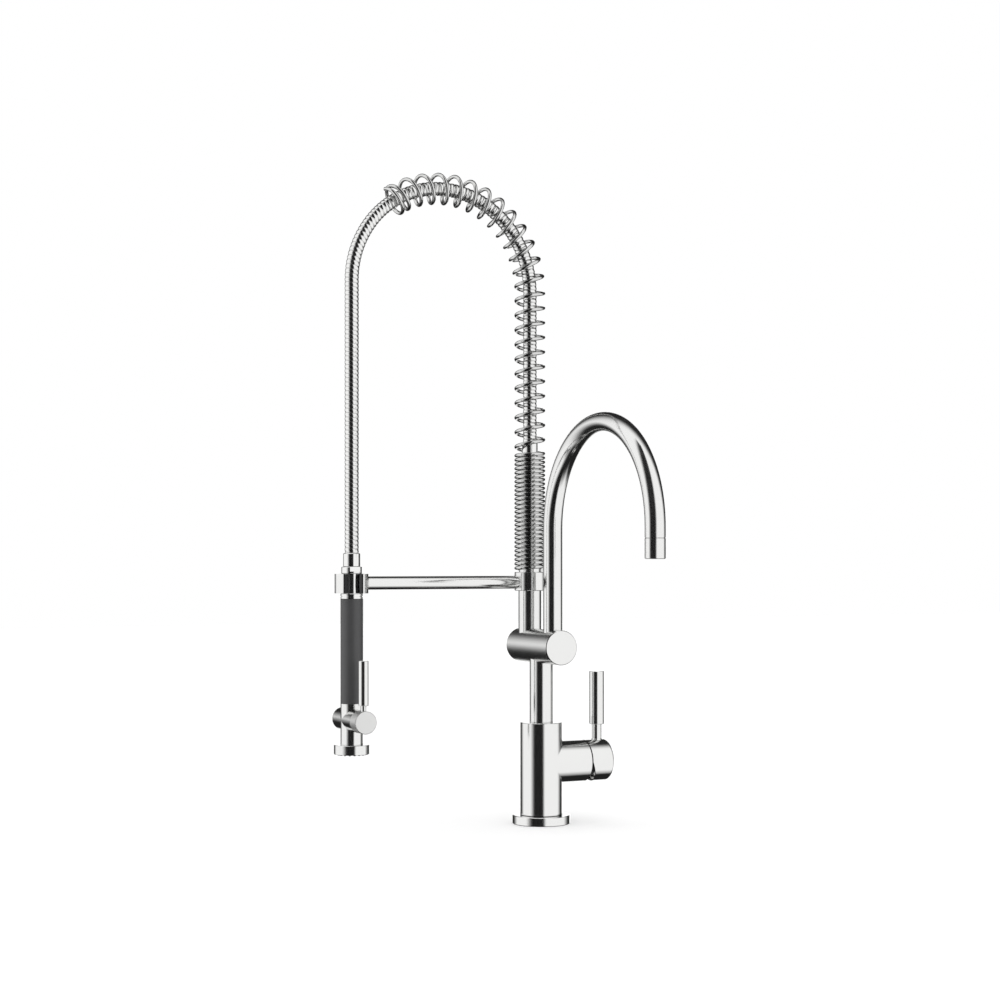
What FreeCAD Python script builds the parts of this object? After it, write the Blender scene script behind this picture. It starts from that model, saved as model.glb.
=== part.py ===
import FreeCAD, Part
import math
import os
from FreeCAD import Vector

# Kitchen mixer with a swivelling spout and a sprung pull-down spray, in millimetres.
# +Z is up, -Y is the front and the origin is the centre of the flange's underside.

# overall sizes
body_r = 22.5
body_top = 108.0
bar_z = 189.0
column_offset = 27.0
spout_reach = 213.0
spout_arc_z = 313.0
spout_end_z = 282.0
dock_reach = 206.0
arch_z = 570.0

# deck fixing
flange_r = 31.0
flange_h = 9.4
shank_r = 16.0
shank_bore_r = 12.5
shank_low = -55.0
shank_top = 24.0
deck_thickness = 30.0
gasket_h = 1.5
gasket_in_r = 24.0
gasket_out_r = 28.0
washer_r = 28.0
rubber_washer_h = 3.0
steel_washer_h = 2.0
nut_h = 12.0
nut_flats_r = 22.0
thread_gap = 0.1
inlet_r = 4.5
inlet_depth = 12.0
inlet_offset = 6.3
inlet_drill_r = 3.0

# valve barrel and cartridge, along +X
valve_z = 64.7
barrel_r = 22.25
barrel_end = 50.0
cartridge_r = 17.5
cartridge_back = 12.3
cartridge_shoulder = 42.0
cartridge_neck_r = 12.7
cartridge_front = 49.0
cartridge_cavity_r = 9.0
cartridge_cavity_x = 40.0
nut_thread_r = 19.0
dome_r = 20.7
nut_rim_r = 21.6
nut_rim_h = 0.8
dome_end = 59.0
dome_bore_r = 13.0
pivot_x = 46.0
ball_r = 5.5
spindle_r = 4.0
spindle_end = 71.5
pivot_pin_r = 1.2
carrier_wall = 0.95

# main handle
cap_gap = 1.4
cap_end = 77.5
cap_cavity_r = 21.0
cap_hub_x = 64.0
cap_round = 3.0
cap_cut_angle = 20.0
lever_x = 67.3
lever_stem_r = 5.2
lever_grip_r = 8.0
lever_grip_low = 103.5
lever_grip_top = 160.7
grub_r = 1.5

# columns and crossbar
column_r = 12.5
column_bore_r = 10.0
bar_r = 18.25
bar_bore_r = 14.0
bar_front = -47.0
bar_back = 48.0
bar_cap_h = 2.0
bar_plug_h = 6.0
column_depth = 11.0
sleeve_half = 12.0
sleeve_bore_r = 6.5
piston_r = 6.4
piston_half = 5.0

# spout
spout_r = 10.25
spout_bore_r = 8.75
spout_low = 191.0
aerator_seam_z = 302.5
spout_bush_r = 12.0
spout_bush_low = 198.0
spout_bush_top = 202.5
clip_z = 193.0
clip_h = 1.5
clip_r = 12.0
clip_seat_r = 9.6
seal_h = 1.6
insert_h = 14.0

# dock: collar, arm and ring
collar_r = 16.75
collar_low = 248.0
collar_top = 268.0
collar_bore_r = 14.5
bush_lip = 1.0
upper_neck_r = column_r - 0.5
upper_top = 392.0
upper_bore_r = 9.0
arm_z = 257.0
arm_r = 7.0
ring_wall = 4.3
liner_wall = 2.3
ring_low = 246.6
ring_top = 266.7
ring_gap = 0.35
slot_half = 10.2
lip_half = 6.9
lip_bulge = 0.75
lip_outer_r = 16.6
slot_turn = -15.0

# guide spring
coil_r = 15.0
wire_r = 2.0
close_turns = 27
close_pitch = 4.67
riser_turns = 11
arch_turns = 14
end_turn_share = 0.28
arch_r = 103.0
arch_sweep = 124.0
coil_steps = 10
wire_sides = 6

# hose and its fittings
hose_r = 7.4
top_ferrule_r = 8.5
top_ferrule_h = 15.0
spigot_depth = 8.0
ferrule_r = 9.0
ferrule_low = 274.0
ferrule_top = 288.0
hose_nut_step = 0.85
hose_nut_low = 267.0
hose_nut_flat = 9.3
hose_nut_shelf = 269.1
water_r = 5.0

# hand spray
neck_r = 10.4
lip_low = 240.7
lip_top = 246.3
lip_groove_z = 243.3
grip_r = 11.7
grip_low = 132.6
core_r = 9.5
core_bore_r = 6.5
head_r = 18.6
head_low = 80.4
head_top = 90.2
nozzle_low = 79.5
nozzle_r = 1.1
nozzle_rings = ((5.0, 6), (10.0, 12), (14.5, 18))
plate_r = 16.6
plate_h = 2.0
cross_z = 115.5
cross_r = 11.7
cross_back = 54.0
cross_front = 3.0
back_cap_h = 2.0
knob_front = -13.0
knob_gap = 0.3
spray_lever_y = -6.0
spray_stem_r = 2.75
spray_grip_r = 5.2
spray_grip_low = 132.4
spray_grip_top = 178.4
valve_bore_r = 6.0
valve_spindle_r = 3.9

# clearances
running_gap = 0.05
seat_gap = 0.05

# the nut passes down through the ring's liner, and the spray's lip stops under it
hose_nut_r = grip_r - hose_nut_step
liner_bore_r = hose_nut_r + ring_gap
ring_bore_r = liner_bore_r + liner_wall
ring_r = ring_bore_r + ring_wall

UP = Vector(0, 0, 1)
RIGHT = Vector(1, 0, 0)
BACK = Vector(0, 1, 0)
rear_x, rear_y = 0.0, column_offset
spray_x = -dock_reach
spout_outlet_y = -column_offset - spout_reach

hose_route = (
    (0.0, 27.0, 407.0), (0.0, 27.0, 597.6), (-27.6, 27.0, 645.4), (-75.4, 27.0, 673.0),
    (-130.6, 27.0, 673.0), (-178.4, 27.0, 645.4), (-206.0, 27.0, 597.6), (-206.0, 27.0, 288.0),
)


def rod(radius, start, axis, length):
    return Part.makeCylinder(radius, length, Vector(*start), axis)


def pipe(outer, inner, start, axis, length):
    return rod(outer, start, axis, length).cut(rod(inner, start, axis, length))


def upright(outer, inner, low, high, x=0.0, y=0.0):
    if inner:
        return pipe(outer, inner, (x, y, low), UP, high - low)
    return rod(outer, (x, y, low), UP, high - low)


def turned(outline, start, axis):
    """A solid of revolution: outline points are (radius, distance along the axis)."""
    points = [Vector(r, 0, h) for r, h in outline]
    face = Part.Face(Part.makePolygon(points + points[:1]))
    solid = face.revolve(Vector(0, 0, 0), UP, 360)
    spin = FreeCAD.Rotation(UP, axis)
    solid.Placement = FreeCAD.Placement(Vector(*start), spin)
    return solid


def bevelled(radius, low, high, bevel, x=0.0, y=0.0):
    outline = ((0, low), (radius - bevel, low), (radius, low + bevel),
               (radius, high - bevel), (radius - bevel, high), (0, high))
    return turned(outline, (x, y, 0), UP)


def save(name, shape):
    shape.exportStep("parts/" + name + ".step")
    print(name, round(shape.Volume), shape.isValid(), len(shape.Solids))


# ---- deck fixing ----

def base_flange():
    disc = bevelled(flange_r, 0, flange_h, 0.6)
    disc = disc.cut(upright(shank_r + thread_gap, 0, -1, flange_h + 1))
    return disc.cut(upright(gasket_out_r, gasket_in_r, 0, gasket_h))


def shank_nut(top):
    hexagon = [Vector(nut_flats_r / math.cos(math.pi / 6) * math.cos(k * math.pi / 3),
                      nut_flats_r / math.cos(math.pi / 6) * math.sin(k * math.pi / 3),
                      top - nut_h) for k in range(6)]
    prism = Part.Face(Part.makePolygon(hexagon + hexagon[:1])).extrude(Vector(0, 0, nut_h))
    return prism.cut(upright(shank_r + thread_gap, 0, top - nut_h - 1, top + 1))


def deck_fixing():
    rubber_low = -deck_thickness - rubber_washer_h
    steel_low = rubber_low - steel_washer_h
    save("base_flange", base_flange())
    save("base_gasket", upright(gasket_out_r, gasket_in_r, 0, gasket_h))
    save("mounting_shank", upright(shank_r, shank_bore_r, shank_low, shank_top))
    save("deck_gasket", upright(washer_r, shank_r + thread_gap, rubber_low, -deck_thickness))
    save("deck_washer", upright(washer_r, shank_r + thread_gap, steel_low, rubber_low))
    save("shank_nut", shank_nut(steel_low))


# ---- mixer body and its cartridge ----

def mixer_body():
    body = bevelled(body_r, flange_h, body_top, 0.5)
    body = body.fuse(rod(barrel_r, (0, 0, valve_z), RIGHT, barrel_end))
    body = body.cut(upright(shank_r + thread_gap, 0, flange_h - 1, shank_top))
    chamber = rod(cartridge_r + seat_gap, (cartridge_back, 0, valve_z), RIGHT, barrel_end)
    mouth = rod(nut_thread_r, (cartridge_shoulder, 0, valve_z), RIGHT, barrel_end)
    body = body.cut(chamber).cut(mouth)
    for side in (-1, 1):
        y = side * inlet_offset
        body = body.cut(upright(inlet_r, 0, shank_top, shank_top + inlet_depth, 0, y))
        body = body.cut(upright(inlet_drill_r, 0, shank_top, valve_z - inlet_drill_r, 0, y))
        body = body.cut(rod(inlet_drill_r, (0, y, valve_z - 2 * inlet_drill_r), RIGHT, cartridge_back + 1))
    outlet_z = valve_z + 8
    body = body.cut(rod(inlet_drill_r, (0, 0, outlet_z), RIGHT, cartridge_back + 1))
    return body.cut(upright(inlet_drill_r * 2, 0, outlet_z, body_top + 1))


def cartridge():
    outer = rod(cartridge_r, (cartridge_back, 0, valve_z), RIGHT, cartridge_shoulder - cartridge_back)
    neck = rod(cartridge_neck_r, (cartridge_back, 0, valve_z), RIGHT, cartridge_front - cartridge_back)
    cavity_length = cartridge_front - cartridge_cavity_x
    shape = outer.fuse(neck)
    shape = shape.cut(rod(cartridge_cavity_r, (cartridge_cavity_x, 0, valve_z), RIGHT, cavity_length + 1))
    for y, z in ((-inlet_offset, -6), (inlet_offset, -6), (0, 8)):
        port = rod(inlet_drill_r, (cartridge_back, y, valve_z + z), RIGHT, 10)
        shape = shape.cut(port)
    return shape


def cartridge_nut():
    dome = Part.makeSphere(dome_r, Vector(pivot_x, 0, valve_z))
    keep = rod(nut_rim_r, (barrel_end, 0, valve_z), RIGHT, dome_end - barrel_end)
    rim = rod(nut_rim_r, (barrel_end, 0, valve_z), RIGHT, nut_rim_h)
    thread = rod(nut_thread_r - thread_gap, (cartridge_shoulder, 0, valve_z), RIGHT,
                 barrel_end - cartridge_shoulder)
    bore = rod(dome_bore_r, (cartridge_shoulder - 1, 0, valve_z), RIGHT, dome_end)
    return dome.common(keep).fuse(rim).fuse(thread).cut(bore)


def spindle_carrier():
    outer = cartridge_cavity_r - running_gap
    length = cartridge_front - cartridge_cavity_x - 2 * seat_gap
    start = (cartridge_cavity_x + seat_gap, 0, valve_z)
    ring = pipe(outer, outer - carrier_wall, start, RIGHT, length)
    return ring.cut(pivot_pin())


def pivot_pin():
    half = cartridge_cavity_r - 2 * running_gap
    return rod(pivot_pin_r, (pivot_x, -half, valve_z), BACK, 2 * half)


def lever_spindle():
    ball = Part.makeSphere(ball_r, Vector(pivot_x, 0, valve_z))
    stalk = rod(spindle_r, (pivot_x, 0, valve_z), RIGHT, spindle_end - pivot_x)
    hole = rod(pivot_pin_r + running_gap, (pivot_x, -2 * ball_r, valve_z), BACK, 4 * ball_r)
    return ball.fuse(stalk).cut(hole)


# ---- main handle ----

def handle_cap():
    low = barrel_end + cap_gap
    outline = [(0, 0), (barrel_r, 0), (barrel_r, cap_end - low - cap_round)]
    for k in range(1, 6):
        a = math.radians(18 * k)
        r = barrel_r - cap_round * (1 - math.cos(a))
        outline.append((r, cap_end - low - cap_round * (1 - math.sin(a))))
    outline.append((0, cap_end - low))
    cap = turned(outline, (low, 0, valve_z), RIGHT)
    cap = cap.cut(rod(cap_cavity_r, (low - 1, 0, valve_z), RIGHT, cap_hub_x - low + 1))
    cap = cap.cut(rod(spindle_r + seat_gap, (low, 0, valve_z), RIGHT, spindle_end - low + seat_gap))
    wedge = Part.makeBox(60, 80, 60, Vector(-60, -40, -60))
    wedge.rotate(Vector(0, 0, 0), BACK, -cap_cut_angle)
    below = Part.makeBox(80, 80, 60, Vector(-60, -40, -60))
    wedge = wedge.common(below)
    wedge.translate(Vector(low, 0, valve_z))
    cap = cap.cut(wedge)
    return cap.cut(grub_hole())


def grub_hole():
    low = valve_z - barrel_r
    return upright(grub_r + seat_gap, 0, low - 1, valve_z - spindle_r, (cap_hub_x + spindle_end) / 2)


def handle_screw():
    low = valve_z - barrel_r + 0.6
    x = (cap_hub_x + spindle_end) / 2
    screw = upright(grub_r, 0, low, valve_z - spindle_r, x)
    return screw.cut(upright(grub_r / 2, 0, low - 1, low + 2, x))


def handle_stem():
    shaft = upright(lever_stem_r, 0, valve_z, lever_grip_low, lever_x)
    top = valve_z + barrel_r
    flare = turned(((0, top - 2.5), (lever_stem_r + 2, top - 2.5), (lever_stem_r, top + 1), (0, top + 1)),
                   (lever_x, 0, 0), UP)
    return shaft.fuse(flare).cut(rod(barrel_r, (0, 0, valve_z), RIGHT, cap_end))


def main_handle():
    save("spindle_carrier", spindle_carrier())
    save("pivot_pin", pivot_pin())
    save("lever_spindle", lever_spindle())
    save("handle_cap", handle_cap())
    save("handle_screw", handle_screw())
    save("handle_stem", handle_stem())
    save("handle_grip", bevelled(lever_grip_r, lever_grip_low, lever_grip_top, 0.4, lever_x))


# ---- columns, crossbar and diverter ----

def crossbar():
    inner_front = bar_front + bar_cap_h
    length = bar_back - bar_front - 2 * bar_cap_h
    bar = pipe(bar_r, bar_bore_r, (0, inner_front, bar_z), BACK, length)
    bar = bar.cut(upright(column_r + seat_gap, 0, bar_z - bar_r - 5, bar_z))
    bar = bar.cut(upright(column_r + seat_gap, 0, bar_z, bar_z + bar_r + 5, rear_x, rear_y))
    bar = bar.cut(upright(spout_r + running_gap, 0, bar_z, bar_z + bar_r + 5, 0, -column_offset))
    return bar.cut(upright(spout_bush_r + seat_gap, 0, bar_z, spout_bush_top, 0, -column_offset))


def bar_cap(front):
    cap = turned(((0, 0), (bar_r - 0.6, 0), (bar_r, 0.6), (bar_r, bar_cap_h), (bar_bore_r - thread_gap, bar_cap_h),
                  (bar_bore_r - thread_gap, bar_cap_h + bar_plug_h), (0, bar_cap_h + bar_plug_h)),
                 (0, front, bar_z), BACK if front < 0 else -BACK)
    return cap


def lower_column():
    shape = upright(column_r, column_bore_r, body_top, bar_z - column_depth)
    return shape


def upper_column():
    shoulder = collar_low + bush_lip
    shape = upright(column_r, upper_bore_r, bar_z + column_depth, shoulder, rear_x, rear_y)
    neck = upright(upper_neck_r, upper_bore_r, shoulder, upper_top, rear_x, rear_y)
    return shape.fuse(neck)


def diverter_sleeve():
    sleeve = pipe(bar_bore_r - seat_gap, sleeve_bore_r, (0, -sleeve_half, bar_z), BACK, 2 * sleeve_half)
    slot = upright(column_r + 2 * seat_gap, 0, bar_z - bar_r, bar_z - column_depth + seat_gap)
    port = upright(inlet_drill_r, 0, bar_z - bar_r, bar_z)
    return sleeve.cut(slot).cut(port)


def diverter_piston():
    head = rod(piston_r, (0, -piston_half, bar_z), BACK, 2 * piston_half)
    groove = pipe(piston_r + 1, piston_r - 1.2, (0, -seal_h / 2, bar_z), BACK, seal_h)
    return head.cut(groove)


def columns():
    save("lower_column", lower_column())
    save("crossbar", crossbar())
    save("crossbar_front_cap", bar_cap(bar_front))
    save("crossbar_back_cap", bar_cap(bar_back))
    save("diverter_sleeve", diverter_sleeve())
    save("diverter_piston", diverter_piston())
    save("upper_column", upper_column())
    bush = upright(spout_bush_r, spout_r + running_gap, spout_bush_low, spout_bush_top, 0, -column_offset)
    save("spout_bush", bush.common(rod(bar_r - 0.5, (0, -60, bar_z), BACK, 120)))


# ---- spout ----

def spout_path(start_z, end_z):
    y = -column_offset
    foot = Vector(0, y, start_z)
    spring_point = Vector(0, y, spout_arc_z)
    crown = Vector(0, y - spout_reach / 2, spout_arc_z + spout_reach / 2)
    far = Vector(0, y - spout_reach, spout_arc_z)
    tip = Vector(0, y - spout_reach, end_z)
    edges = (Part.LineSegment(foot, spring_point), Part.Arc(spring_point, crown, far),
             Part.LineSegment(far, tip))
    return Part.Wire([edge.toShape() for edge in edges])


def spout_sweep(radius, start_z, end_z):
    circle = Part.Wire([Part.Circle(Vector(0, -column_offset, start_z), UP, radius).toShape()])
    return spout_path(start_z, end_z).makePipeShell([circle], True, True)


def spout_tube():
    tube = spout_sweep(spout_r, spout_low, aerator_seam_z).cut(
        spout_sweep(spout_bore_r, spout_low - 1, aerator_seam_z - 1))
    groove = upright(spout_r + 1, clip_seat_r, clip_z, clip_z + clip_h, 0, -column_offset)
    return tube.cut(groove)


def spout_clip():
    low = clip_z + seat_gap
    return upright(clip_r, clip_seat_r + seat_gap, low, clip_z + clip_h - seat_gap, 0, -column_offset)


def aerator_housing():
    shell = bevelled(spout_r, spout_end_z, aerator_seam_z - 0.4, 0.5, 0, spout_outlet_y)
    shell = shell.cut(upright(spout_bore_r - 0.75, 0, spout_end_z - 1, aerator_seam_z, 0, spout_outlet_y))
    collar = upright(spout_r - 0.5, spout_bore_r, aerator_seam_z - 0.4, aerator_seam_z, 0, spout_outlet_y)
    return shell.fuse(collar)


def aerator_insert():
    low = spout_end_z + 2
    shape = upright(spout_bore_r - 0.8, 0, low, low + insert_h, 0, spout_outlet_y)
    for x in (-4.5, -1.5, 1.5, 4.5):
        for y in (-4.5, -1.5, 1.5, 4.5):
            shape = shape.cut(upright(1.1, 0, low - 1, low + insert_h + 1, x, spout_outlet_y + y))
    return shape


def spout():
    save("spout_tube", spout_tube())
    save("spout_clip", spout_clip())
    save("aerator_housing", aerator_housing())
    save("aerator_insert", aerator_insert())
    washer_low = spout_end_z + 2 + insert_h
    save("aerator_washer", upright(spout_bore_r - 0.8, 5.5, washer_low, washer_low + 1.6, 0, spout_outlet_y))


# ---- dock ----

def turned_box(x0, y0, z0, x1, y1, z1):
    box = Part.makeBox(x1 - x0, y1 - y0, z1 - z0, Vector(x0, y0, z0))
    box.rotate(Vector(0, 0, 0), UP, slot_turn)
    box.translate(Vector(spray_x, rear_y, 0))
    return box


def swivel_collar():
    shape = bevelled(collar_r, collar_low, collar_top, 0.5, rear_x, rear_y)
    shape = shape.cut(upright(collar_bore_r, 0, collar_low + bush_lip, collar_top - bush_lip, rear_x, rear_y))
    shape = shape.cut(upright(column_r + 2 * running_gap, 0, collar_low - 1, collar_low + 2, rear_x, rear_y))
    return shape.cut(upright(upper_neck_r + 6 * running_gap, 0, collar_top - 2, collar_top + 1, rear_x, rear_y))


def docking_arm():
    arm = rod(arm_r, (spray_x, rear_y, arm_z), RIGHT, dock_reach)
    arm = arm.cut(upright(collar_r, 0, arm_z - 20, arm_z + 20, rear_x, rear_y))
    return arm.cut(upright(ring_r, 0, arm_z - 20, arm_z + 20, spray_x, rear_y))


def docking_ring():
    ring = upright(ring_r, ring_bore_r, ring_low, ring_top, spray_x, rear_y)
    return ring.cut(turned_box(-slot_half, -2 * ring_r, ring_low - 1, slot_half, 0, ring_top + 1))


def lip_slot():
    middle = (ring_low + ring_top) / 2
    left = Part.Arc(Vector(-lip_half, 0, ring_low), Vector(-lip_half + lip_bulge, 0, middle),
                    Vector(-lip_half, 0, ring_top))
    right = Part.Arc(Vector(lip_half, 0, ring_top), Vector(lip_half - lip_bulge, 0, middle),
                     Vector(lip_half, 0, ring_low))
    over = Part.LineSegment(Vector(-lip_half, 0, ring_top), Vector(lip_half, 0, ring_top))
    under = Part.LineSegment(Vector(lip_half, 0, ring_low), Vector(-lip_half, 0, ring_low))
    face = Part.Face(Part.Wire([edge.toShape() for edge in (left, over, right, under)]))
    slot = face.extrude(Vector(0, -2 * ring_r, 0))
    slot.rotate(Vector(0, 0, 0), UP, slot_turn)
    slot.translate(Vector(spray_x, rear_y, 0))
    return slot


def ring_liner():
    sleeve = upright(ring_bore_r - seat_gap, liner_bore_r, ring_low, ring_top, spray_x, rear_y)
    lips = upright(lip_outer_r, liner_bore_r, ring_low, ring_top, spray_x, rear_y)
    edge = slot_half - seat_gap
    lips = lips.common(turned_box(-edge, -2 * ring_r, ring_low - 1, edge, 0, ring_top + 1))
    return sleeve.fuse(lips).cut(lip_slot())


def dock():
    save("swivel_collar", swivel_collar())
    bush = upright(collar_bore_r - seat_gap, upper_neck_r + running_gap, collar_low + bush_lip,
                   collar_top - bush_lip, rear_x, rear_y)
    save("collar_bush", bush)
    save("docking_arm", docking_arm())
    save("docking_ring", docking_ring())
    save("ring_liner", ring_liner())


# ---- guide spring ----

def helix(turns, pitch, start_z):
    path = Part.makeHelix(pitch, turns * pitch, coil_r)
    rise = Vector(0, 1, pitch / (2 * math.pi * coil_r))
    profile = Part.Wire([Part.Circle(Vector(coil_r, 0, 0), rise, wire_r).toShape()])
    coil = Part.Wire(path.Edges).makePipeShell([profile], True, True)
    coil.translate(Vector(rear_x, rear_y, start_z))
    return coil


def arch_centre(turn):
    open_turns = arch_turns - 1
    share = min(turn, open_turns) + end_turn_share * max(turn - open_turns, 0)
    angle = math.radians(arch_sweep) * share / (open_turns + end_turn_share)
    around = 2 * math.pi * turn
    out = Vector(math.cos(angle), 0, math.sin(angle))
    centre = Vector(rear_x - arch_r, rear_y, arch_z) + out * arch_r
    return centre + out * (coil_r * math.cos(around)) + BACK * (coil_r * math.sin(around))


def arch_section(turn):
    centre = arch_centre(turn)
    tangent = (arch_centre(turn + 0.001) - arch_centre(turn - 0.001)).normalize()
    side = tangent.cross(BACK).normalize()
    other = tangent.cross(side)
    points = []
    for k in range(wire_sides):
        a = 2 * math.pi * k / wire_sides
        points.append(centre + side * (wire_r * math.cos(a)) + other * (wire_r * math.sin(a)))
    return Part.makePolygon(points + points[:1])


def spring_arch():
    count = arch_turns * coil_steps
    sections = [arch_section(k / coil_steps) for k in range(count + 1)]
    return Part.makeLoft(sections, True, True)


def guide_spring():
    close_low = collar_top + wire_r + 2 * seat_gap
    riser_low = close_low + close_turns * close_pitch
    save("spring_close_coils", helix(close_turns, close_pitch, close_low))
    save("spring_riser_coils", helix(riser_turns, (arch_z - riser_low) / riser_turns, riser_low))
    save("spring_arch_coils", spring_arch())


# ---- hose ----

def hose_wire(points):
    """Straight runs joined by tangent arcs, each as large as its two runs allow."""
    edges = []
    start = points[0]
    length = 0.0
    for before, corner, after in zip(points, points[1:], points[2:]):
        come = corner - before
        go = after - corner
        turn = come.getAngle(go)
        tangent = 0.45 * min(come.Length, go.Length)
        radius = tangent / math.tan(turn / 2)
        print("hose radius", round(radius, 1), "turn", round(math.degrees(turn), 1))
        enter = corner - come.normalize() * tangent
        leave = corner + go.normalize() * tangent
        inward = (enter + leave) * 0.5 - corner
        middle = corner + inward.normalize() * (radius / math.cos(turn / 2) - radius)
        edges.append(Part.LineSegment(start, enter).toShape())
        edges.append(Part.Arc(enter, middle, leave).toShape())
        start = leave
    edges.append(Part.LineSegment(start, points[-1]).toShape())
    return Part.Wire(edges)


def hose():
    path = hose_wire([Vector(*point) for point in hose_route])
    profile = Part.Wire([Part.Circle(Vector(*hose_route[0]), UP, hose_r).toShape()])
    tube = path.makePipeShell([profile], True, True)
    section = math.pi * hose_r ** 2
    print("hose length", round(path.Length, 1), "volume", tube.Volume / (section * path.Length))
    return tube


def hose_top_ferrule():
    low = upper_top + 4 * seat_gap
    shape = bevelled(top_ferrule_r, low, upper_top + top_ferrule_h, 0.4, rear_x, rear_y)
    spigot = upright(upper_bore_r - running_gap, 0, upper_top - spigot_depth, low, rear_x, rear_y)
    return shape.fuse(spigot).cut(upright(water_r, 0, upper_top - spigot_depth - 1,
                                          upper_top + top_ferrule_h - 3, rear_x, rear_y))


def hose_ferrule():
    shape = bevelled(ferrule_r, ferrule_low, ferrule_top, 0.6, spray_x, rear_y)
    return shape.cut(upright(water_r, 0, ferrule_low - 1, ferrule_top - 3, spray_x, rear_y))


def hose_nut():
    shape = bevelled(hose_nut_r, hose_nut_low, ferrule_low, 0.5, spray_x, rear_y)
    for k in range(2):
        flat = Part.makeBox(40, 10, 20, Vector(-20, hose_nut_flat, hose_nut_shelf))
        flat.rotate(Vector(0, 0, 0), UP, 180 * k)
        flat.translate(Vector(spray_x, rear_y, 0))
        shape = shape.cut(flat)
    return shape.cut(upright(water_r, 0, hose_nut_low - 1, ferrule_low + 1, spray_x, rear_y))


def hoses():
    save("hose", hose())
    save("hose_top_ferrule", hose_top_ferrule())
    save("hose_ferrule", hose_ferrule())
    save("hose_nut", hose_nut())


# ---- hand spray ----

def spray_neck():
    shape = upright(neck_r, 0, lip_low, hose_nut_low, spray_x, rear_y)
    shape = shape.fuse(bevelled(grip_r, lip_low, lip_top, 0.4, spray_x, rear_y))
    groove = upright(grip_r + 1, grip_r - 0.8, lip_groove_z - 0.45, lip_groove_z + 0.45, spray_x, rear_y)
    return shape.cut(groove).cut(upright(water_r, 0, lip_low - 1, hose_nut_low + 1, spray_x, rear_y))


def spray_body():
    shape = upright(grip_r, 0, head_top, grip_low, spray_x, rear_y)
    back = cross_back - back_cap_h
    shape = shape.fuse(rod(cross_r, (spray_x, cross_front, cross_z), BACK, back - cross_front))
    shape = shape.cut(rod(valve_bore_r, (spray_x, cross_front + 2, cross_z), BACK, back - cross_front))
    guide = rod(valve_spindle_r + running_gap, (spray_x, cross_front - 1, cross_z), BACK, 5)
    shape = shape.cut(guide)
    return shape.cut(upright(core_bore_r, 0, head_top - 1, grip_low + 1, spray_x, rear_y))


def valve_back_cap():
    plug = rod(valve_bore_r - thread_gap, (spray_x, cross_back - back_cap_h - 4, cross_z), BACK, 4)
    return turned(((0, 0), (cross_r - 0.5, 0), (cross_r, 0.5), (cross_r, back_cap_h), (0, back_cap_h)),
                  (spray_x, cross_back, cross_z), -BACK).fuse(plug)


def spray_head():
    shape = bevelled(head_r, head_low, head_top, 0.3, spray_x, rear_y)
    shape = shape.cut(upright(plate_r + seat_gap, 0, head_low - 1, head_low + plate_h, spray_x, rear_y))
    chamber = upright(plate_r - 2, 0, head_low - 1, head_low + 5, spray_x, rear_y)
    return shape.cut(chamber).cut(upright(core_bore_r, 0, head_low, head_top + 1, spray_x, rear_y))


def nozzle_plate():
    plate = upright(plate_r, 0, head_low, head_low + plate_h, spray_x, rear_y)
    for ring, count in nozzle_rings:
        for k in range(count):
            a = 2 * math.pi * k / count
            x = spray_x + ring * math.cos(a)
            y = rear_y + ring * math.sin(a)
            nozzle = upright(nozzle_r, 0, nozzle_low, head_low + seat_gap, x, y)
            plate = plate.fuse(nozzle)
    return plate


def spray_knob():
    high = cross_front - knob_gap
    knob = turned(((0, 0), (cross_r - 0.5, 0), (cross_r, 0.5), (cross_r, high - knob_front), (0, high - knob_front)),
                  (spray_x, knob_front, cross_z), BACK)
    return knob.cut(rod(valve_spindle_r + seat_gap, (spray_x, spray_lever_y, cross_z), BACK, 20))


def spray_stem():
    shape = upright(spray_stem_r, 0, cross_z, spray_grip_low, spray_x, spray_lever_y)
    return shape.cut(rod(cross_r, (spray_x, knob_front, cross_z), BACK, 20))


def hand_spray():
    save("spray_neck", spray_neck())
    save("grip_sleeve", upright(grip_r, core_r + seat_gap, grip_low, lip_low, spray_x, rear_y))
    save("grip_core", upright(core_r, core_bore_r, grip_low, lip_low, spray_x, rear_y))
    save("check_valve", upright(core_bore_r - seat_gap, 2.5, lip_low - 18, lip_low - 6, spray_x, rear_y))
    save("spray_body", spray_body())
    save("valve_back_cap", valve_back_cap())
    save("spray_head", spray_head())
    save("nozzle_plate", nozzle_plate())
    save("spray_knob", spray_knob())
    spindle_back = cross_back - back_cap_h - 5
    save("valve_spindle", rod(valve_spindle_r, (spray_x, spray_lever_y, cross_z), BACK,
                              spindle_back - spray_lever_y))
    save("spray_lever_stem", spray_stem())
    save("spray_lever_grip", bevelled(spray_grip_r, spray_grip_low, spray_grip_top, 0.4, spray_x, spray_lever_y))


os.makedirs("parts", exist_ok=True)
deck_fixing()
save("mixer_body", mixer_body())
save("cartridge", cartridge())
save("cartridge_nut", cartridge_nut())
main_handle()
columns()
spout()
dock()
guide_spring()
hoses()
hand_spray()
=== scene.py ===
import math

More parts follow.
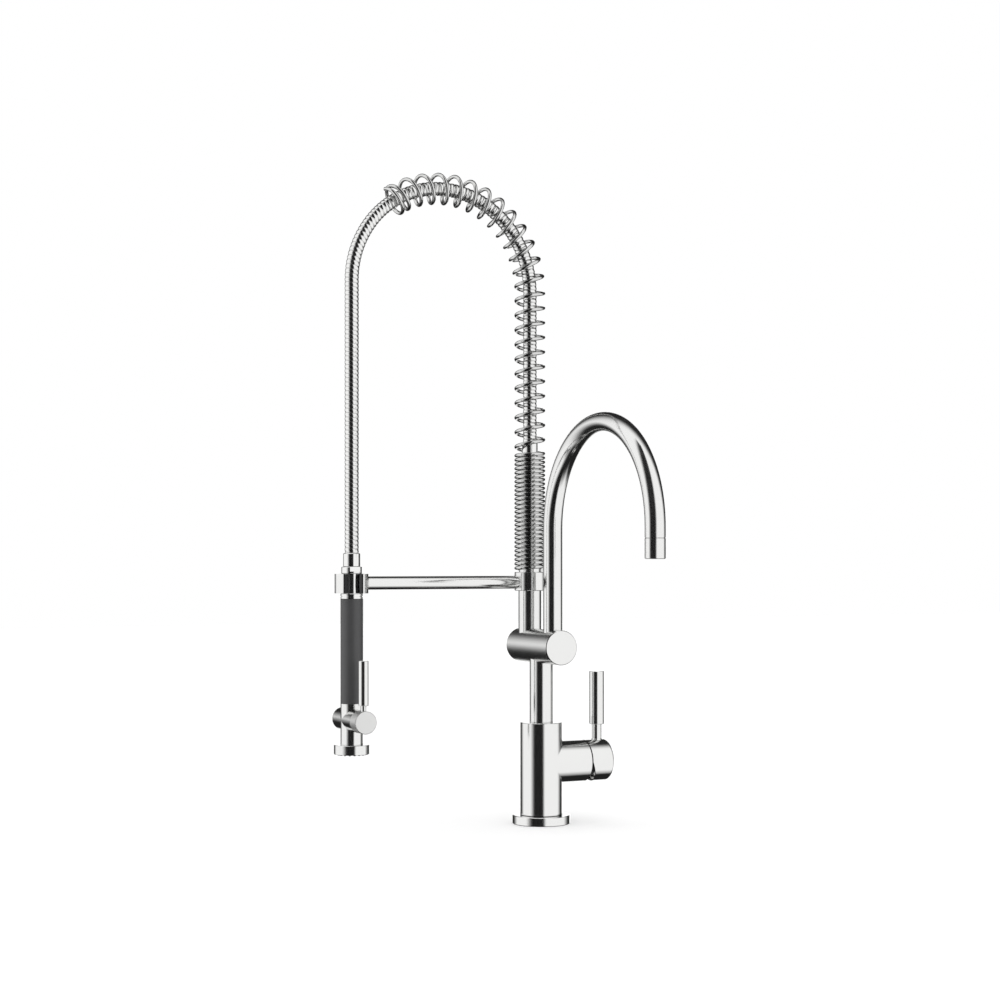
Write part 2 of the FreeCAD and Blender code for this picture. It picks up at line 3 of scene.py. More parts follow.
import bpy
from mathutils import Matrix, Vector


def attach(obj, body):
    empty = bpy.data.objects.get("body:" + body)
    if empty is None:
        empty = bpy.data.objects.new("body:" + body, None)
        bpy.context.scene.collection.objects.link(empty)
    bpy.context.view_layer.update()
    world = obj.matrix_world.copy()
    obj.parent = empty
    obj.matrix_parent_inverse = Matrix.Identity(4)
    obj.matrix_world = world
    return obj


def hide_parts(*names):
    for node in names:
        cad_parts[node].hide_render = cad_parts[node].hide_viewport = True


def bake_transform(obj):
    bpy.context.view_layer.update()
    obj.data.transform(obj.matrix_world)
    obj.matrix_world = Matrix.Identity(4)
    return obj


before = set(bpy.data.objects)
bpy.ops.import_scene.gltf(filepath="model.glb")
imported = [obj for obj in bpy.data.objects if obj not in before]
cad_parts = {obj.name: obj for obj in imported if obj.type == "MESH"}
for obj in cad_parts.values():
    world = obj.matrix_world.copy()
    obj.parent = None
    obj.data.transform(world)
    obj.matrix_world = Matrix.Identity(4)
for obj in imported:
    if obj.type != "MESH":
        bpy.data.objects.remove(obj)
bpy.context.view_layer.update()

mm = 0.001
print("frame loaded:", len(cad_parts), "nodes")


# colours are written as sRGB hex and turned to linear here
def linear(hexColour, alpha=1.0):
    channels = [int(hexColour[i:i + 2], 16) / 255 for i in (1, 3, 5)]
    return tuple(c / 12.92 if c <= 0.04045 else ((c + 0.055) / 1.055) ** 2.4 for c in channels) + (alpha,)


# adds one node, sets its properties and sockets, and links what it is given
def addNode(tree, kind, props=None, values=None, links=None):
    node = tree.nodes.new(kind)
    for name, value in (props or {}).items():
        setattr(node, name, value)
    for key, value in (values or {}).items():
        node.inputs[key].default_value = value
    for key, source in (links or {}).items():
        tree.links.new(source, node.inputs[key])
    return node


def addObject(name, data):
    obj = bpy.data.objects.new(name, data)
    bpy.context.scene.collection.objects.link(obj)
    return obj


# camera, level, a little left of the front and as high as the collar
cameraSetup = {
    "azimuth": -25.7,          # degrees, negative is towards the spray side
    "distance": 2.030,         # along the view, to the column's foot
    "aside": 0.0441,
    "height": 0.281,
    "focal": 1.9,              # focal length over image width
    "shiftY": 0.06,
}


def makeCamera(setup):
    turn = math.radians(setup["azimuth"])
    right = Vector((math.cos(turn), math.sin(turn), 0))
    ahead = Vector((-math.sin(turn), math.cos(turn), 0))
    data = bpy.data.cameras.new("camera")
    data.sensor_width = 36
    data.lens = 36 * setup["focal"]
    data.shift_y = setup["shiftY"]
    data.clip_start = 0.05
    data.clip_end = 50
    camera = addObject("camera", data)
    foot = -right * setup["aside"] - ahead * setup["distance"]
    camera.location = foot + Vector((0, 0, setup["height"]))
    camera.rotation_euler = (math.radians(90), 0, turn)
    bpy.context.scene.camera = camera


makeCamera(cameraSetup)
bpy.context.scene.view_settings.view_transform = "Standard"      # white paper stays white
print("camera made")


# path helpers shared by the hose and the spring: a curve object, and a tree that gives it its wall
def curveFromPoints(name, points, smooth):
    data = bpy.data.curves.new(name, "CURVE")
    data.dimensions = "3D"
    data.resolution_u = 24
    spline = data.splines.new("NURBS" if smooth else "POLY")
    spline.points.add(len(points) - 1)
    for point, place in zip(spline.points, points):
        point.co = (*place, 1)
    if smooth:
        spline.order_u = 3
        spline.use_endpoint_u = True
    return addObject(name, data)


# the points along a curve with no bevel, as Blender works them out
def pointsAlong(curveObj):
    depsgraph = bpy.context.evaluated_depsgraph_get()
    mesh = bpy.data.meshes.new_from_object(curveObj.evaluated_get(depsgraph))
    points = [v.co.copy() for v in mesh.vertices]
    bpy.data.meshes.remove(mesh)
    return points


def newTree(name, inputs):
    tree = bpy.data.node_groups.new(name, "GeometryNodeTree")
    sockets = {}
    tree.interface.new_socket("Geometry", in_out="INPUT", socket_type="NodeSocketGeometry")
    for label, kind, value in inputs:
        socket = tree.interface.new_socket(label, in_out="INPUT", socket_type=kind)
        if value is not None:
            socket.default_value = value
        sockets[label] = socket.identifier
    tree.interface.new_socket("Geometry", in_out="OUTPUT", socket_type="NodeSocketGeometry")
    return tree, sockets


# runs a tree on an object with its inputs set, and leaves a plain mesh with no modifier
def meshFromTree(obj, tree, sockets, values, name):
    modifier = obj.modifiers.new(tree.name, "NODES")
    modifier.node_group = tree
    for label, value in values.items():
        modifier[sockets[label]] = value
    depsgraph = bpy.context.evaluated_depsgraph_get()
    mesh = bpy.data.meshes.new_from_object(obj.evaluated_get(depsgraph))
    mesh.name = name
    bpy.data.objects.remove(obj)
    return addObject(name, mesh)


def smoothShade(piece):
    for face in piece.data.polygons:
        face.use_smooth = True


# metal with a grain: a mirror softened by fine streaks, with painted shade darkening it down in corners
def grainedMetal(name, grain, setup, bent=False):
    setup = {"corner": 0.002, "cornerShadeColour": "#3a3a3a", **setup}
    material = bpy.data.materials.new(name)
    material.use_nodes = True
    tree = material.node_tree
    shader = tree.nodes["Principled BSDF"]
    shader.inputs["Metallic"].default_value = 1.0
    if bent:
        place = addNode(tree, "ShaderNodeAttribute", {"attribute_name": "straightPlace"}).outputs["Vector"]
    else:
        place = addNode(tree, "ShaderNodeTexCoord").outputs["Object"]
    # painted shade: where ambient occlusion finds other surfaces close, in corners, seams and gaps, the
    # colour goes to a dark grey
    corner = addNode(tree, "ShaderNodeAmbientOcclusion", {"samples": 8, "only_local": False},
                     {"Distance": setup["corner"]})
    clear = addNode(tree, "ShaderNodeMapRange", {"interpolation_type": "SMOOTHSTEP"},
                    {"From Min": 0.2, "From Max": 0.62, "To Min": 0.0, "To Max": 1.0},
                    {"Value": corner.outputs["AO"]})
    tone = addNode(tree, "ShaderNodeMix", {"data_type": "RGBA"},
                   {6: linear(setup["cornerShadeColour"]), 7: linear(setup["colour"])},
                   {0: clear.outputs["Result"]})
    tree.links.new(tone.outputs[2], shader.inputs["Base Color"])
    stretch = addNode(tree, "ShaderNodeMapping", values={"Scale": grain}, links={"Vector": place})
    streaks = addNode(tree, "ShaderNodeTexNoise", values={"Scale": 1.0, "Detail": 4.0, "Roughness": 0.6},
                      links={"Vector": stretch.outputs["Vector"]})
    rough = addNode(tree, "ShaderNodeMapRange",
                    values={"From Min": 0.3, "From Max": 0.7,
                            "To Min": setup["roughLow"], "To Max": setup["roughHigh"]},
                    links={"Value": streaks.outputs["Fac"]})
    tree.links.new(rough.outputs["Result"], shader.inputs["Roughness"])
    bump = addNode(tree, "ShaderNodeBump", values={"Strength": setup["bump"], "Distance": setup["depth"]},
                   links={"Height": streaks.outputs["Fac"]})
    tree.links.new(bump.outputs["Normal"], shader.inputs["Normal"])
    return material


def grainAlong(axis, across, along):
    scale = [1 / (across * mm)] * 3
    scale[axis] = 1 / (along * mm)
    return scale


# stainless steel, satin polished: a soft mirror whose streaks follow the piece
stainlessSetup = {"colour": "#d2d2d1", "roughLow": 0.09, "roughHigh": 0.17, "bump": 0.03, "depth": 0.00001}
grainAcross, grainLength = 0.35, 14.0      # millimetres, coarser than the real 0.1 so that it shows
steelX = grainedMetal("satinStainlessAlongX", grainAlong(0, grainAcross, grainLength), stainlessSetup)
steelY = grainedMetal("satinStainlessAlongY", grainAlong(1, grainAcross, grainLength), stainlessSetup)
steelZ = grainedMetal("satinStainlessAlongZ", grainAlong(2, grainAcross, grainLength), stainlessSetup)
# the same steel, brushed: wider, duller reflections
brushedSetup = {"colour": "#d2d2d1", "roughLow": 0.19, "roughHigh": 0.27, "bump": 0.04, "depth": 0.00001}
brushedY = grainedMetal("brushedStainlessAlongY", grainAlong(1, grainAcross, grainLength), brushedSetup)
# the spray valve's knob and back cap are brushed more coarsely, which gives a soft grey
valveSetup = dict(brushedSetup, roughLow=0.36, roughHigh=0.46)
brushedValve = grainedMetal("coarseBrushedStainlessAlongY", grainAlong(1, grainAcross, grainLength),
                            valveSetup)
steelTube = grainedMetal("satinStainlessBentTube", grainAlong(2, grainAcross, grainLength),
                         stainlessSetup, bent=True)
# drawn wire is smooth and bright
wireSetup = {"colour": "#bfbfbe", "roughLow": 0.08, "roughHigh": 0.13, "bump": 0.0, "depth": 0.00001}
springSteel = grainedMetal("drawnSpringWire", [1 / (0.5 * mm)] * 3, wireSetup)
# turned and polished fittings, nearly a mirror
polishSetup = {"corner": 0.0006, "colour": "#d6d6d5", "roughLow": 0.07, "roughHigh": 0.12, "bump": 0.02,
               "depth": 0.00001}
polished = grainedMetal("polishedStainless", [1 / (0.4 * mm)] * 3, polishSetup)
hoseFinish = {"colour": "#d4d4d3", "grooveShadeColour": "#b4b4b3", "roughLow": 0.08, "roughHigh": 0.13}


# stainless strip wound edge over edge: duller down in the groove, where painted shade also darkens the
# colour
def woundStainless(setup):
    material = bpy.data.materials.new("spiralWoundStainless")
    material.use_nodes = True
    tree = material.node_tree
    shader = tree.nodes["Principled BSDF"]
    shader.inputs["Metallic"].default_value = 1.0
    groove = addNode(tree, "ShaderNodeAttribute", {"attribute_name": "groove"})
    deep = addNode(tree, "ShaderNodeMapRange", {"interpolation_type": "SMOOTHSTEP"},
                   {"From Min": 0.6, "From Max": 1.0, "To Min": 0.0, "To Max": 1.0},
                   {"Value": groove.outputs["Fac"]})
    # painted shade: the colour darkens down in the groove between two windings
    tone = addNode(tree, "ShaderNodeMix", {"data_type": "RGBA"},
                   {6: linear(setup["colour"]), 7: linear(setup["grooveShadeColour"])},
                   {0: deep.outputs["Result"]})
    place = addNode(tree, "ShaderNodeTexCoord")
    speck = addNode(tree, "ShaderNodeTexNoise", values={"Scale": 1 / (0.6 * mm), "Detail": 2.0},
                    links={"Vector": place.outputs["Object"]})
    rough = addNode(tree, "ShaderNodeMapRange",
                    values={"To Min": setup["roughLow"], "To Max": setup["roughHigh"]},
                    links={"Value": speck.outputs["Fac"]})
    dull = addNode(tree, "ShaderNodeMath", {"operation": "MULTIPLY_ADD"}, {1: 0.25},
                   {0: deep.outputs["Result"], 2: rough.outputs["Result"]})
    tree.links.new(tone.outputs[2], shader.inputs["Base Color"])
    tree.links.new(dull.outputs[0], shader.inputs["Roughness"])
    return material


hoseSteel = woundStainless(hoseFinish)
# zinc plating is bluish and dull; turned brass keeps the tool's rings
platedSetup = {"colour": "#b9bcc2", "roughLow": 0.25, "roughHigh": 0.4, "bump": 0.1, "depth": 0.00003}
zincPlated = grainedMetal("zincPlatedSteel", [1 / (0.8 * mm)] * 3, platedSetup)
brassSetup = {"colour": "#c8a45a", "roughLow": 0.2, "roughHigh": 0.35, "bump": 0.1, "depth": 0.00003}
turnedBrass = grainedMetal("turnedBrass", grainAlong(2, 6.0, 0.5), brassSetup)


# moulded rubber or plastic: one colour, a fine eggshell texture from the mould and slight clouding
def moulded(name, setup):
    material = bpy.data.materials.new(name)
    material.use_nodes = True
    tree = material.node_tree
    shader = tree.nodes["Principled BSDF"]
    shader.inputs["IOR"].default_value = setup["ior"]
    place = addNode(tree, "ShaderNodeTexCoord")
    grain = addNode(tree, "ShaderNodeTexNoise", values={"Scale": 1 / (setup["grain"] * mm), "Detail": 3.0},
                    links={"Vector": place.outputs["Object"]})
    cloud = addNode(tree, "ShaderNodeTexNoise", values={"Scale": 1 / (18 * mm), "Detail": 2.0},
                    links={"Vector": place.outputs["Object"]})
    tone = addNode(tree, "ShaderNodeMix", {"data_type": "RGBA"},
                   {6: linear(setup["colour"]), 7: linear(setup["pale"])}, {0: cloud.outputs["Fac"]})
    rough = addNode(tree, "ShaderNodeMapRange",
                    values={"To Min": setup["roughLow"], "To Max": setup["roughHigh"]},
                    links={"Value": grain.outputs["Fac"]})
    bump = addNode(tree, "ShaderNodeBump", values={"Strength": 0.15, "Distance": 0.00005},
                   links={"Height": grain.outputs["Fac"]})
    tree.links.new(tone.outputs[2], shader.inputs["Base Color"])
    tree.links.new(rough.outputs["Result"], shader.inputs["Roughness"])
    tree.links.new(bump.outputs["Normal"], shader.inputs["Normal"])
    return material


gripRubber = moulded("gripElastomer", {
    "colour": "#3c3c3d", "pale": "#454546", "roughLow": 0.38, "roughHigh": 0.5, "grain": 0.35, "ior": 1.5})
blackRubber = moulded("mouldedEpdm", {
    "colour": "#1b1b1c", "pale": "#232324", "roughLow": 0.45, "roughHigh": 0.6, "grain": 0.4, "ior": 1.5})
whiteAcetal = moulded("mouldedAcetal", {
    "colour": "#dddcd6", "pale": "#e6e5e0", "roughLow": 0.35, "roughHigh": 0.5, "grain": 0.5, "ior": 1.48})
darkPlastic = moulded("mouldedPpo", {
    "colour": "#222324", "pale": "#2b2b2c", "roughLow": 0.35, "roughHigh": 0.5, "grain": 0.5, "ior": 1.5})


# hose: spiral-wound stainless, from the top of the riser round the arch to the spray
hoseSetup = {
    "diameter": 0.0148,
    "pitch": 0.0045,           # one ridge of the winding
    "ridge": 0.00042,          # depth of the groove between two windings
    "stepsPerRidge": 10,
    "sides": 40,
    "bendFrom": (-0.206, 0.027, 0.57),         # the point on the hose where the arch ends
    "bendTo": (-0.206, 0.027, 0.300),          # a lower point on the same downward run, above the spray
}
hoseRoute = [
    (0.0, 0.027, 0.407), (0.0, 0.027, 0.496), (0.0, 0.027, 0.5424), (0.0, 0.027, 0.5976),
    (-0.0276, 0.027, 0.6454), (-0.0754, 0.027, 0.673), (-0.1306, 0.027, 0.673), (-0.1784, 0.027, 0.6454),
    (-0.206, 0.027, 0.5976), (-0.206, 0.027, 0.5424), (-0.206, 0.027, 0.377), (-0.206, 0.027, 0.288),
]


# a tube along a line; its wall is wound, so the ridges climb by one pitch for every turn round it
def woundTubeTree():
    tree, sockets = newTree("woundTube", (
        ("Radius", "NodeSocketFloat", 0.007),
        ("Ridge", "NodeSocketFloat", 0.0005),
        ("Pitch", "NodeSocketFloat", 0.0045),
        ("Step", "NodeSocketFloat", 0.0005),
        ("Sides", "NodeSocketInt", 24),
        ("Material", "NodeSocketMaterial", None)))
    source = addNode(tree, "NodeGroupInput")
    line = addNode(tree, "GeometryNodeMeshToCurve", links={"Mesh": source.outputs["Geometry"]})
    even = addNode(tree, "GeometryNodeResampleCurve", {"mode": "LENGTH"},
                   links={"Curve": line.outputs["Curve"], "Length": source.outputs["Step"]})
    along = addNode(tree, "GeometryNodeSplineParameter")
    measured = addNode(tree, "GeometryNodeStoreNamedAttribute", {"data_type": "FLOAT", "domain": "POINT"},
                       {"Name": "alongTube"},
                       {"Geometry": even.outputs["Curve"], "Value": along.outputs["Length"]})
    ring = addNode(tree, "GeometryNodeCurvePrimitiveCircle",
                   links={"Resolution": source.outputs["Sides"], "Radius": source.outputs["Radius"]})
    around = addNode(tree, "GeometryNodeSplineParameter")
    profile = addNode(tree, "GeometryNodeStoreNamedAttribute", {"data_type": "FLOAT", "domain": "POINT"},
                      {"Name": "roundTube"},
                      {"Geometry": ring.outputs["Curve"], "Value": around.outputs["Factor"]})
    tube = addNode(tree, "GeometryNodeCurveToMesh", values={"Fill Caps": True},
                   links={"Curve": measured.outputs["Geometry"],
                          "Profile Curve": profile.outputs["Geometry"]})
    readAlong = addNode(tree, "GeometryNodeInputNamedAttribute", {"data_type": "FLOAT"},
                        {"Name": "alongTube"})
    readRound = addNode(tree, "GeometryNodeInputNamedAttribute", {"data_type": "FLOAT"},
                        {"Name": "roundTube"})
    circle = addNode(tree, "ShaderNodeMath", {"operation": "MULTIPLY"}, {1: 2 * math.pi},
                     {0: readRound.outputs["Attribute"]})
    unrolled = []
    for operation in ("COSINE", "SINE"):
        side = addNode(tree, "ShaderNodeMath", {"operation": operation}, links={0: circle.outputs[0]})
        unrolled.append(addNode(tree, "ShaderNodeMath", {"operation": "MULTIPLY"},
                                links={0: side.outputs[0], 1: source.outputs["Radius"]}).outputs[0])
    straight = addNode(tree, "ShaderNodeCombineXYZ",
                       links={0: unrolled[0], 1: unrolled[1], 2: readAlong.outputs["Attribute"]})
    turns = addNode(tree, "ShaderNodeMath", {"operation": "DIVIDE"},
                    links={0: readAlong.outputs["Attribute"], 1: source.outputs["Pitch"]})
    wound = addNode(tree, "ShaderNodeMath", {"operation": "ADD"},
                    links={0: turns.outputs[0], 1: readRound.outputs["Attribute"]})
    angle = addNode(tree, "ShaderNodeMath", {"operation": "MULTIPLY"}, {1: 2 * math.pi},
                    {0: wound.outputs[0]})
    wave = addNode(tree, "ShaderNodeMath", {"operation": "COSINE"}, links={0: angle.outputs[0]})
    dip = addNode(tree, "ShaderNodeMath", {"operation": "MULTIPLY_ADD"}, {1: -0.5, 2: 0.5},
                  {0: wave.outputs[0]})
    groove = addNode(tree, "ShaderNodeMath", {"operation": "POWER"}, {1: 1.5}, {0: dip.outputs[0]})
    marked = addNode(tree, "GeometryNodeStoreNamedAttribute", {"data_type": "FLOAT", "domain": "POINT"},
                     {"Name": "groove"}, {"Geometry": tube.outputs["Mesh"], "Value": groove.outputs[0]})
    placed = addNode(tree, "GeometryNodeStoreNamedAttribute",
                     {"data_type": "FLOAT_VECTOR", "domain": "POINT"},
                     {"Name": "straightPlace"},
                     {"Geometry": marked.outputs["Geometry"], "Value": straight.outputs[0]})
    depth = addNode(tree, "ShaderNodeMath", {"operation": "MULTIPLY"},
                    links={0: groove.outputs[0], 1: source.outputs["Ridge"]})
    facing = addNode(tree, "GeometryNodeInputNormal")
    inward = addNode(tree, "ShaderNodeMath", {"operation": "MULTIPLY"}, {1: -1.0}, {0: depth.outputs[0]})
    push = addNode(tree, "ShaderNodeVectorMath", {"operation": "SCALE"},
                   links={0: facing.outputs["Normal"], 3: inward.outputs[0]})
    shaped = addNode(tree, "GeometryNodeSetPosition",
                     links={"Geometry": placed.outputs["Geometry"], "Offset": push.outputs[0]})
    real = addNode(tree, "GeometryNodeRealizeInstances", links={"Geometry": shaped.outputs["Geometry"]})
    finish = addNode(tree, "GeometryNodeSetMaterial",
                     links={"Geometry": real.outputs["Geometry"], "Material": source.outputs["Material"]})
    addNode(tree, "NodeGroupOutput", links={"Geometry": finish.outputs["Geometry"]})
    return tree, sockets


def lineMesh(name, points):
    mesh = bpy.data.meshes.new(name)
    mesh.from_pydata([tuple(p) for p in points], [(i, i + 1) for i in range(len(points) - 1)], [])
    return addObject(name, mesh)


def makeHose(setup, tree, sockets):
    curveObj = curveFromPoints("hoseLine", hoseRoute, smooth=True)
    points = pointsAlong(curveObj)
    bpy.data.objects.remove(curveObj)
    length = sum((b - a).length for a, b in zip(points, points[1:]))
    guide = lineMesh("hoseGuide", points)
    piece = meshFromTree(guide, tree, sockets, {
        "Radius": setup["diameter"] / 2, "Ridge": setup["ridge"], "Pitch": setup["pitch"],
        "Step": setup["pitch"] / setup["stepsPerRidge"], "Sides": setup["sides"],
        "Material": hoseSteel}, "hosePiece")
    smoothShade(piece)
    print("hose length", round(length, 4), "triangles", len(piece.data.polygons) * 2)
    return piece, points, length


tubeTree, tubeSockets = woundTubeTree()
hosePiece, hosePoints, hoseLength = makeHose(hoseSetup, tubeTree, tubeSockets)
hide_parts("hose")
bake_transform(hosePiece)
print("hose done")


# guide spring: one wire, close coils on the column, open coils up the riser and round the arch
springSetup = {
    "coilRadius": 0.015,
    "wireRadius": 0.002,
    "low": 0.2701,
    "closeTurns": 27,
    "closePitch": 0.00467,
    "riserTurns": 11,
    "archZ": 0.570,
    "archRadius": 0.103,
    "archSweep": 124.0,
    "archTurns": 14,
    "endShare": 0.28,          # the last turn is closed up: it climbs this much of a full pitch
    "stepsPerTurn": 40,
    "sides": 14,
}


def springPoint(setup, turn):
    riserLow = setup["low"] + setup["closeTurns"] * setup["closePitch"]
    around = 2 * math.pi * turn
    closeEnd = setup["closeTurns"]
    riserEnd = closeEnd + setup["riserTurns"]
    out = Vector((1, 0, 0))
    centre = Vector((0, 0.027, 0))
    if turn <= closeEnd:
        centre.z = setup["low"] + turn * setup["closePitch"]
    elif turn <= riserEnd:
        centre.z = riserLow + (turn - closeEnd) * (setup["archZ"] - riserLow) / setup["riserTurns"]
    else:
        openTurns = setup["archTurns"] - 1
        gone = turn - riserEnd
        share = min(gone, openTurns) + setup["endShare"] * max(gone - openTurns, 0)
        angle = math.radians(setup["archSweep"]) * share / (openTurns + setup["endShare"])
        out = Vector((math.cos(angle), 0, math.sin(angle)))
        centre = Vector((-setup["archRadius"], 0.027, setup["archZ"])) + out * setup["archRadius"]
    return centre + setup["coilRadius"] * (out * math.cos(around) + Vector((0, 1, 0)) * math.sin(around))


def makeSpring(setup, tree, sockets):
    turns = setup["closeTurns"] + setup["riserTurns"] + setup["archTurns"]
    count = turns * setup["stepsPerTurn"]
    points = [springPoint(setup, turns * i / count) for i in range(count + 1)]
    guide = lineMesh("springGuide", points)
    step = 2 * math.pi * setup["coilRadius"] / setup["stepsPerTurn"]
    piece = meshFromTree(guide, tree, sockets, {
        "Radius": setup["wireRadius"], "Ridge": 0.0, "Pitch": 1.0, "Step": step, "Sides": setup["sides"],
        "Material": springSteel}, "guideSpring")
    smoothShade(piece)
    return piece


guideSpring = makeSpring(springSetup, tubeTree, tubeSockets)
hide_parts("spring_close_coils", "spring_riser_coils", "spring_arch_coils")
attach(guideSpring, "dock")
print("spring done, triangles", len(guideSpring.data.polygons) * 2)


# spout: one tube bent through a half circle, its grain running with the bend
spoutSetup = {
    "radius": 0.01025,
    "columnY": -0.027,
    "reach": 0.213,
    "low": 0.196,
    "arcZ": 0.313,
    "tipZ": 0.3025,
    "arcSteps": 72,
    "step": 0.003,
    "sides": 64,
}


def makeSpout(setup, tree, sockets):
    bend = setup["reach"] / 2
    points = [Vector((0, setup["columnY"], setup["low"]))]
    for i in range(setup["arcSteps"] + 1):
        angle = math.pi * i / setup["arcSteps"]
        y = setup["columnY"] - bend + bend * math.cos(angle)
        points.append(Vector((0, y, setup["arcZ"] + bend * math.sin(angle))))
    points.append(Vector((0, setup["columnY"] - setup["reach"], setup["tipZ"])))
    piece = meshFromTree(lineMesh("spoutGuide", points), tree, sockets, {
        "Radius": setup["radius"], "Ridge": 0.0, "Pitch": 1.0,
        "Step": setup["step"], "Sides": setup["sides"],
        "Material": steelTube}, "spoutTube")
    smoothShade(piece)
    return piece


spoutTube = makeSpout(spoutSetup, tubeTree, tubeSockets)
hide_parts("spout_tube")
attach(spoutTube, "spout")
print("spout done")


# finishes for the frame's own nodes
finishes = {
    steelZ: ["base_flange", "mixer_body", "lower_column", "upper_column", "swivel_collar", "docking_ring",
             "aerator_housing", "handle_grip", "handle_stem", "spray_body", "spray_head",
             "spray_lever_stem", "spray_lever_grip"],
    steelX: ["docking_arm", "handle_cap"],
    brushedY: ["crossbar"],
    brushedValve: ["spray_knob", "valve_back_cap"],
    steelY: ["crossbar_front_cap", "crossbar_back_cap"],
    polished: ["hose_nut", "hose_ferrule", "hose_top_ferrule", "spray_neck"],
    gripRubber: ["grip_sleeve", "nozzle_plate"],
    blackRubber: ["base_gasket", "deck_gasket", "aerator_washer", "ring_liner"],
    whiteAcetal: ["cartridge", "spindle_carrier", "grip_core", "diverter_piston", "aerator_insert",
                  "check_valve", "collar_bush", "spout_bush"],
    darkPlastic: ["diverter_sleeve", "cartridge_nut"],
    turnedBrass: ["mounting_shank", "shank_nut", "valve_spindle", "lever_spindle"],
    zincPlated: ["deck_washer", "spout_clip", "pivot_pin", "handle_screw"],
}
for material, nodes in finishes.items():
    for node in nodes:
        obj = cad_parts[node]
        obj.data.materials.clear()
        obj.data.materials.append(material)
print("finishes set")


# studio: white paper under, a white tent with dark openings, and a black card by the camera;
# only reflections see the openings and the card, every other ray sees plain white
studioSetup = {
    "light": 1.33,             # brightness of the tent, as steel sees it
    "dark": 0.022,
    # azimuth from the camera's side round to the right, elevation, cosines where dark and light begin
    "openings": (
        (165.0, 20.0, 0.74, 0.28),
        (200.0, -30.0, 0.90, 0.62),
        (150.0, -50.0, 0.90, 0.74),
        (0.0, -90.0, 0.97, 0.70),
    ),
    "window": (172.0, -5.0, 0.96, 0.88),       # a bright patch in the middle of the dark back
    "cardDistance": 0.9,
    "cardSpan": (-66.0, -36.0, 5.0, 20.0),     # degrees: starts, solid from, solid to, ends
    "cardHeight": (-3.5, 5.0),
    "cardColour": "#171717",
}
viewTurn = math.radians(cameraSetup["azimuth"])
toRight = Vector((math.cos(viewTurn), math.sin(viewTurn), 0))
toCamera = Vector((math.sin(viewTurn), -math.cos(viewTurn), 0))


def towards(azimuth, elevation=0.0):
    angle = math.radians(azimuth)
    tilt = math.radians(elevation)
    level = toCamera * math.cos(angle) + toRight * math.sin(angle)
    return level * math.cos(tilt) + Vector((0, 0, math.sin(tilt)))


# a round patch of the surroundings: edge and core are each a cosine and the level there
def cone(tree, place, azimuth, elevation, edge, core):
    facing = addNode(tree, "ShaderNodeVectorMath", {"operation": "DOT_PRODUCT"},
                     {1: towards(azimuth, elevation)}, {0: place})
    return addNode(tree, "ShaderNodeMapRange", {"interpolation_type": "SMOOTHSTEP"},
                   {"From Min": edge[0], "From Max": core[0], "To Min": edge[1], "To Max": core[1]},
                   {"Value": facing.outputs["Value"]}).outputs["Result"]


def makeWorld(setup):
    world = bpy.data.worlds.new("studio")
    bpy.context.scene.world = world
    world.use_nodes = True
    tree = world.node_tree
    tree.nodes.clear()
    place = addNode(tree, "ShaderNodeTexCoord").outputs["Generated"]
    # each dark opening lowers what steel sees, and the window then raises it
    mirrored = None
    for azimuth, elevation, darkFrom, lightFrom in setup["openings"]:
        seen = cone(tree, place, azimuth, elevation, (lightFrom, setup["light"]), (darkFrom, setup["dark"]))
        if mirrored is None:
            mirrored = seen
        else:
            mirrored = addNode(tree, "ShaderNodeMath", {"operation": "MINIMUM"},
                               links={0: mirrored, 1: seen}).outputs[0]
    azimuth, elevation, brightFrom, darkFrom = setup["window"]
    window = cone(tree, place, azimuth, elevation, (darkFrom, 0.0), (brightFrom, setup["light"]))
    mirrored = addNode(tree, "ShaderNodeMath", {"operation": "MAXIMUM"},
                       links={0: mirrored, 1: window}).outputs[0]
    rays = addNode(tree, "ShaderNodeLightPath")
    level = addNode(tree, "ShaderNodeMix", {"data_type": "FLOAT"}, {2: 1.0},
                    {0: rays.outputs["Is Glossy Ray"], 3: mirrored})
    glow = addNode(tree, "ShaderNodeBackground", values={"Color": (1, 1, 1, 1)},
                   links={"Strength": level.outputs[0]})
    addNode(tree, "ShaderNodeOutputWorld", links={"Surface": glow.outputs["Background"]})


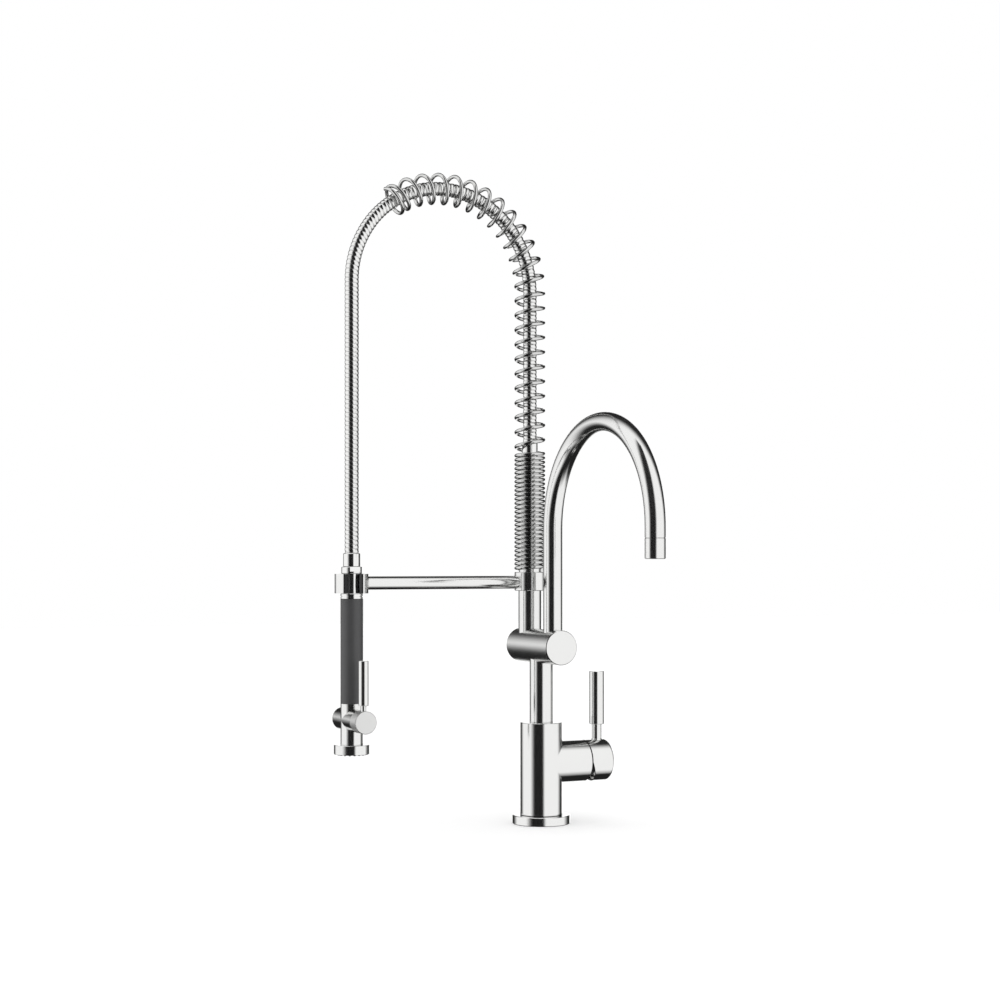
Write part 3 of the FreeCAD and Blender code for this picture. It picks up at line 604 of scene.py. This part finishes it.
# white paper, matt, with a little light of its own
def makeFloor():
    mesh = bpy.data.meshes.new("paper")
    half = 6.0
    corners = [(-half, -half, 0), (half, -half, 0), (half, half, 0), (-half, half, 0)]
    mesh.from_pydata(corners, [], [(0, 1, 2, 3)])
    floor = addObject("paper", mesh)
    material = bpy.data.materials.new("whitePaper")
    material.use_nodes = True
    shader = material.node_tree.nodes["Principled BSDF"]
    shader.inputs["Base Color"].default_value = linear("#f0f0f0")
    shader.inputs["Roughness"].default_value = 1.0
    shader.inputs["Emission Color"].default_value = (1, 1, 1, 1)
    shader.inputs["Emission Strength"].default_value = 0.22
    mesh.materials.append(material)
    floor.visible_glossy = False


# black felt card, thinning out towards its two sides
def makeCard(setup):
    steps = 40
    starts, solidFrom, solidTo, ends = setup["cardSpan"]
    points, shades = [], []
    for i in range(steps + 1):
        azimuth = starts + (ends - starts) * i / steps
        at = towards(azimuth) * setup["cardDistance"]
        rise, fall = (azimuth - starts) / (solidFrom - starts), (ends - azimuth) / (ends - solidTo)
        share = max(0.0, min(1.0, rise, fall))
        for height in setup["cardHeight"]:
            points.append((at.x, at.y, height))
            shades.append(share * share * (3 - 2 * share))
    faces = [(2 * i, 2 * i + 2, 2 * i + 3, 2 * i + 1) for i in range(steps)]
    mesh = bpy.data.meshes.new("blackCard")
    mesh.from_pydata(points, [], faces)
    mesh.attributes.new("solid", "FLOAT", "POINT").data.foreach_set("value", shades)
    card = addObject("blackCard", mesh)
    material = bpy.data.materials.new("blackFelt")
    material.use_nodes = True
    tree = material.node_tree
    shader = tree.nodes["Principled BSDF"]
    shader.inputs["Base Color"].default_value = linear(setup["cardColour"])
    shader.inputs["Roughness"].default_value = 1.0
    solid = addNode(tree, "ShaderNodeAttribute", {"attribute_name": "solid"})
    tree.links.new(solid.outputs["Fac"], shader.inputs["Alpha"])
    mesh.materials.append(material)
    card.visible_camera = False
    card.visible_diffuse = False
    card.visible_shadow = False


makeWorld(studioSetup)
makeFloor()
makeCard(studioSetup)
print("studio done")
